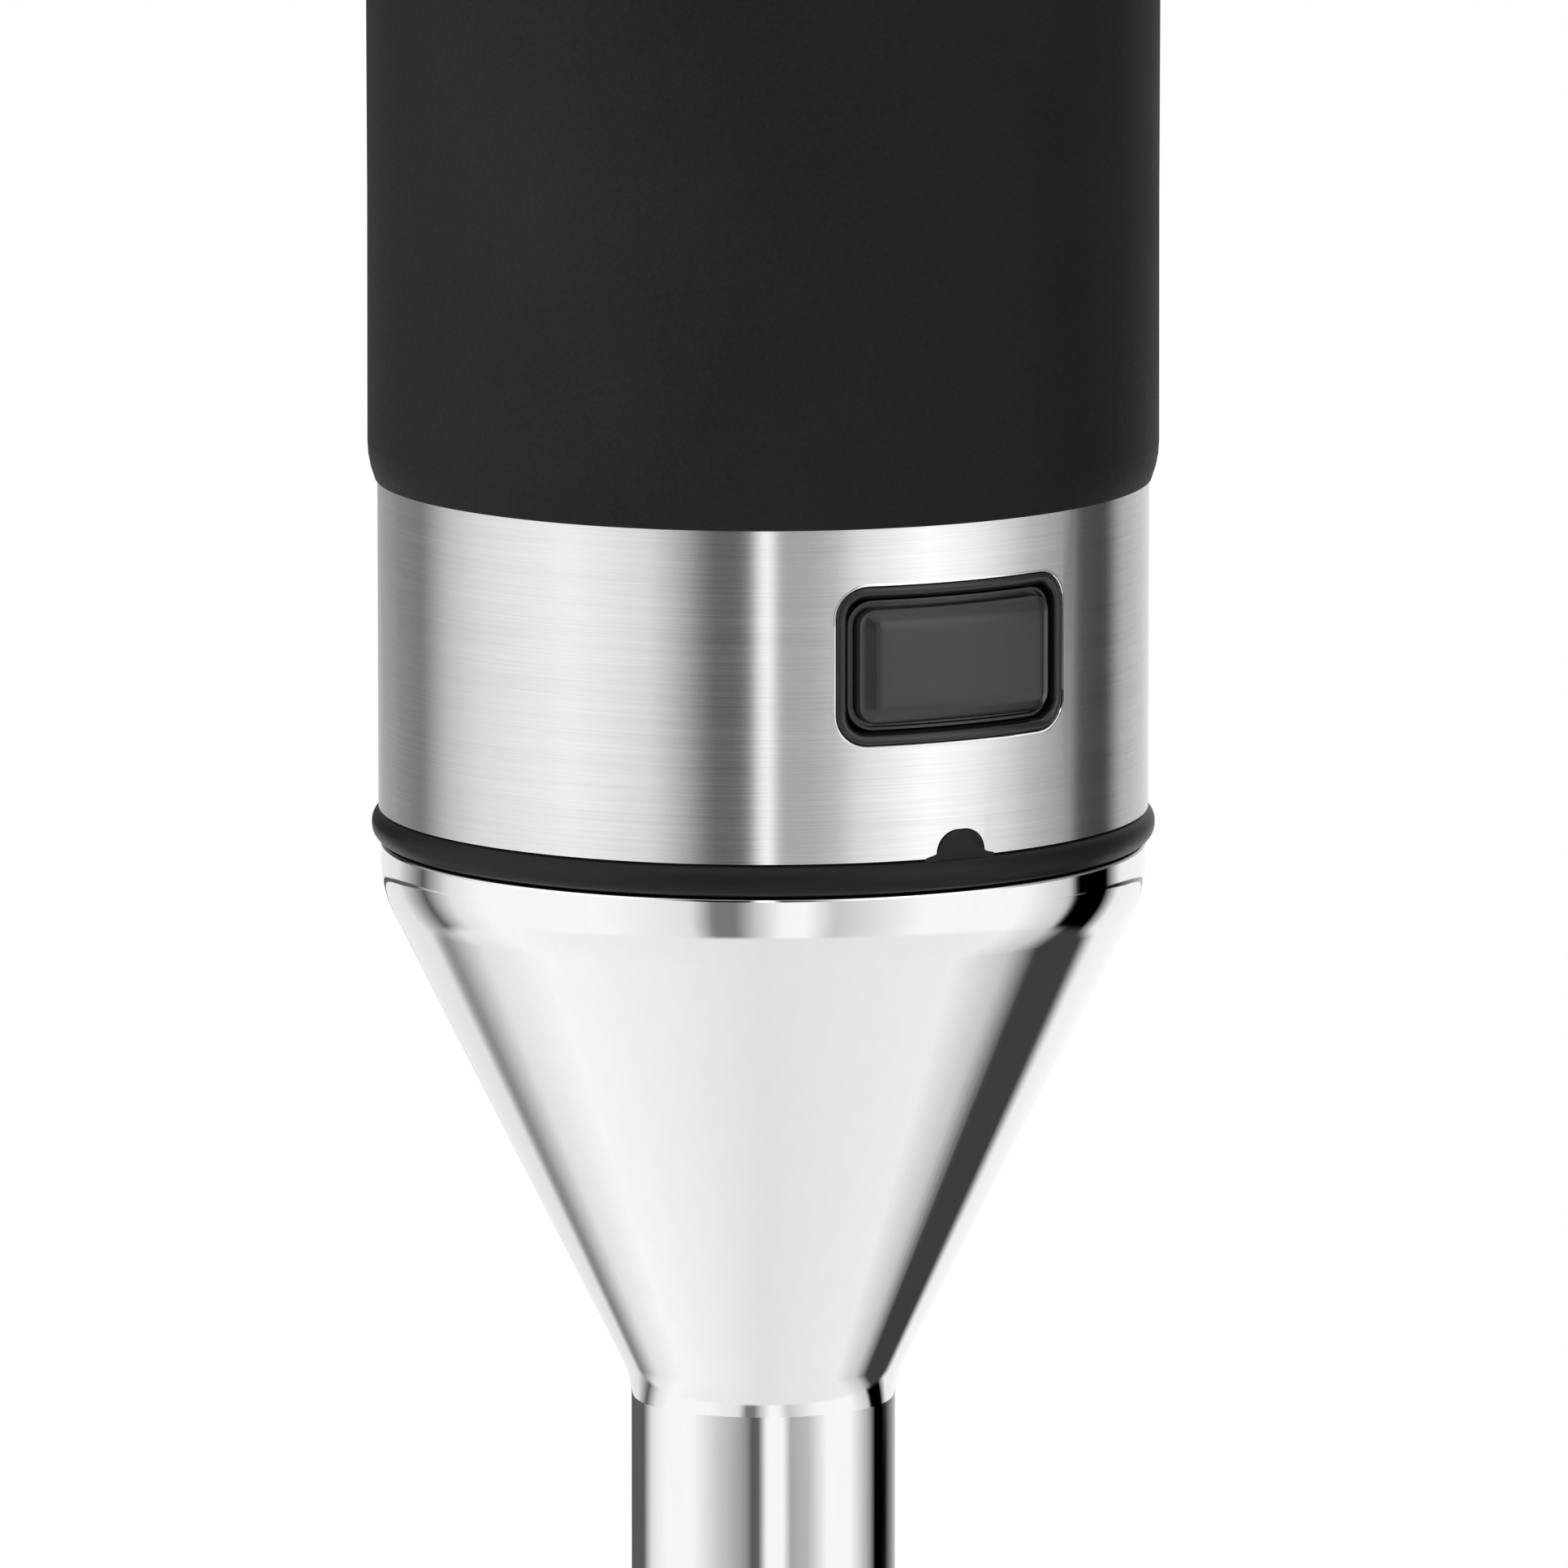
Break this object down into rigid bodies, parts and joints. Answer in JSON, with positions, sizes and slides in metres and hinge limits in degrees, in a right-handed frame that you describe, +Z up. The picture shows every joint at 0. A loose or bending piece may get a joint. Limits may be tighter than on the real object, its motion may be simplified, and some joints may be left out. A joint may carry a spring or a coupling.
{
  "type": "immersion blender",
  "caption": "Hand-held immersion blender: round motor grip with brushed collar and release button, polished steel blending foot with bell guard and blade.",
  "frame": {"origin": "centre of the blade guard's rim, on the surface it stands on", "axes": "+Z up the shaft towards the grip and dial; -Y is the front, with the release button and the switches"},
  "size_m": [0.068, 0.0687, 0.3862],
  "materials": {
    "soft_grip": "matt soft-touch coating with a fine moulded grain",
    "brushed_steel": "stainless, brushed round the axis",
    "polished_steel": "stainless, mirror polished",
    "moulded_black": "satin black moulding",
    "moulded_grey": "grey glass-filled nylon",
    "moulded_pale": "natural heat-resistant moulding",
    "button_black": "satin-gloss black button moulding",
    "gloss_black": "gloss black frame",
    "seal_rubber": "black silicone rubber",
    "shaft_steel": "ground stainless shaft",
    "blade_steel": "tumbled stainless with ground edges",
    "screw_steel": "zinc-plated fasteners",
    "spring_steel": "drawn spring wire",
    "bronze": "oil-filled sintered bronze",
    "lamination": "stacked electrical steel sheets",
    "copper_winding": "enamelled copper wire",
    "copper_bar": "turned copper segments",
    "brass_sheet": "pressed brass",
    "carbon": "graphite blocks",
    "switch_body": "black component moulding",
    "circuit_board": "green solder mask on glass-fibre laminate",
    "capacitor_case": "yellow block capacitor",
    "lead_insulation": "red wire insulation"
  },
  "bodies": {
    "motor_unit": {"collar_ring": "brushed_steel", "collar_liner": "moulded_black", "seal_ring": "seal_rubber", "collar_screws": "screw_steel", "release_bezel": "gloss_black", "latch_spring": "spring_steel", "grip_sleeve": "soft_grip", "chassis_front": "moulded_grey", "chassis_rear": "moulded_grey", "chassis_screws": "screw_steel", "damper_lower": "seal_rubber", "damper_upper": "seal_rubber", "top_ring": "brushed_steel", "top_cap": "moulded_black", "cord_gland": "seal_rubber", "cable_clamp": "moulded_grey", "clamp_screws": "screw_steel", "potentiometer": "switch_body", "button_frame": "brushed_steel", "start_spring": "spring_steel", "turbo_spring": "spring_steel", "micro_switches": "switch_body", "control_board": "circuit_board", "suppressor_capacitor": "capacitor_case", "stator_core": "lamination", "field_coils": "copper_winding", "lower_bracket": "moulded_pale", "upper_bracket": "moulded_pale", "bracket_bolts": "screw_steel", "lower_motor_bearing": "bronze", "upper_motor_bearing": "bronze", "brush_holders": "brass_sheet", "carbon_brushes": "carbon", "motor_leads": "lead_insulation"},
    "rotor": {"motor_shaft": "shaft_steel", "rotor_core": "lamination", "rotor_winding": "copper_winding", "commutator": "copper_bar", "cooling_fan": "moulded_grey", "motor_coupling": "moulded_black"},
    "release": {"release_button": "button_black", "latch_slide": "moulded_grey"},
    "start": {"start_button": "button_black"},
    "turbo": {"turbo_button": "button_black"},
    "dial": {"speed_dial": "moulded_black", "dial_inlay": "brushed_steel", "pot_shaft": "shaft_steel"},
    "foot": {"blade_guard": "polished_steel", "foot_tube": "polished_steel", "foot_cone": "polished_steel", "foot_plug": "moulded_black", "upper_bushing": "bronze", "lower_bushing": "bronze", "bearing_carrier": "moulded_grey", "shaft_seal": "seal_rubber"},
    "blade": {"drive_shaft": "shaft_steel", "foot_coupling": "moulded_grey", "blade_hub": "shaft_steel", "blade": "blade_steel", "blade_nut": "shaft_steel"}
  },
  "joints": [
    {"name": "foot_detach", "type": "slide", "parent": "motor_unit", "child": "foot", "axis": [0, 0, -1], "range_m": [0, 0.06]},
    {"name": "motor_spin", "type": "hinge", "parent": "motor_unit", "child": "rotor", "pos_m": [0, 0, 0.27], "axis": [0, 0, 1], "continuous": true},
    {"name": "blade_spin", "type": "hinge", "parent": "foot", "child": "blade", "pos_m": [0, 0, 0.1], "axis": [0, 0, 1], "continuous": true},
    {"name": "release_press", "type": "slide", "parent": "motor_unit", "child": "release", "axis": [0, 1, 0], "range_m": [0, 0.0023], "stiffness_N_per_m": 800, "springref_m": -0.002, "deforming": ["latch_spring"]},
    {"name": "start_press", "type": "slide", "parent": "motor_unit", "child": "start", "axis": [0, 1, 0], "range_m": [0, 0.0015], "stiffness_N_per_m": 600, "springref_m": -0.002, "deforming": ["start_spring"]},
    {"name": "turbo_press", "type": "slide", "parent": "motor_unit", "child": "turbo", "axis": [0, 1, 0], "range_m": [0, 0.0015], "stiffness_N_per_m": 600, "springref_m": -0.002, "deforming": ["turbo_spring"]},
    {"name": "speed_turn", "type": "hinge", "parent": "motor_unit", "child": "dial", "pos_m": [0, -0.006, 0.375], "axis": [0, 0, -1], "range_deg": [0, 270]}
  ],
  "couplings": [
    {"joint": "blade_spin", "follows": "motor_spin", "ratio": 1}
  ]
}
